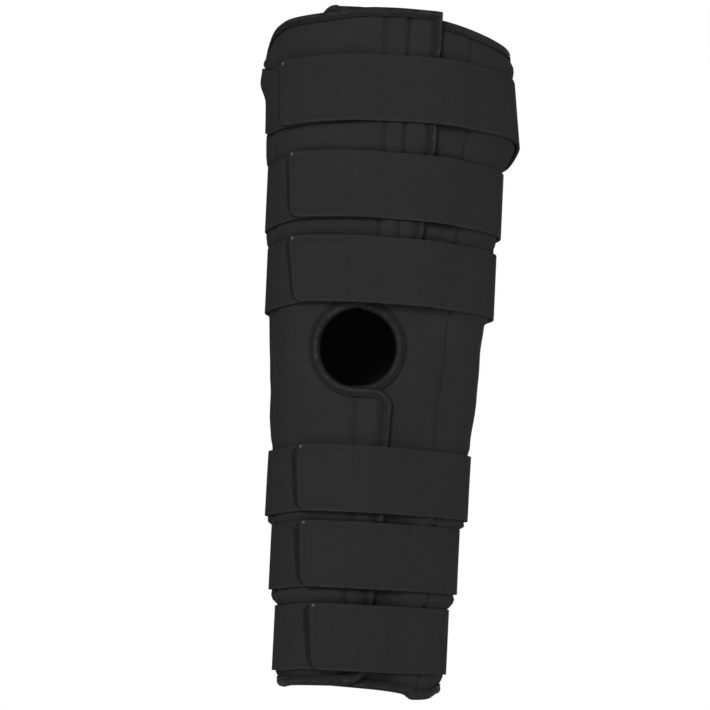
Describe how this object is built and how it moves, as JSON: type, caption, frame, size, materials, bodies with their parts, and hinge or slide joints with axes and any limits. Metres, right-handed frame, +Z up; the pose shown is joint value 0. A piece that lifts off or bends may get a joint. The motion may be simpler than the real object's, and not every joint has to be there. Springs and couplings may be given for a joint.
{
  "type": "knee immobilizer",
  "caption": "Padded wrap-round sleeve that holds a straight knee, open over the kneecap, lapped at the front and closed by straps above and below the knee.",
  "frame": {"origin": "on the sleeve's long axis at the height of the kneecap opening", "axes": "+Z up the leg towards the thigh, -Y out of the front through the kneecap opening, +X to the viewer's right of the front"},
  "size_m": [0.2058, 0.2047, 0.5216],
  "materials": {
    "foam_laminate": "black brushed loop fabric laminated to foam",
    "binding_tape": "black woven bias tape",
    "strap_webbing": "black brushed loop strap",
    "hook_tape": "black nylon hook tape"
  },
  "bodies": {
    "root": {"sleeve": "foam_laminate", "edge_binding": "binding_tape", "strap_thigh_upper": "strap_webbing", "strap_thigh_middle": "strap_webbing", "strap_thigh_lower": "strap_webbing", "strap_calf_upper": "strap_webbing", "strap_calf_middle": "strap_webbing", "strap_calf_lower": "strap_webbing", "hook_tab_thigh_upper": "hook_tape", "hook_tab_thigh_middle": "hook_tape", "hook_tab_thigh_lower": "hook_tape", "hook_tab_calf_upper": "hook_tape", "hook_tab_calf_middle": "hook_tape", "hook_tab_calf_lower": "hook_tape"}
  },
  "joints": []
}
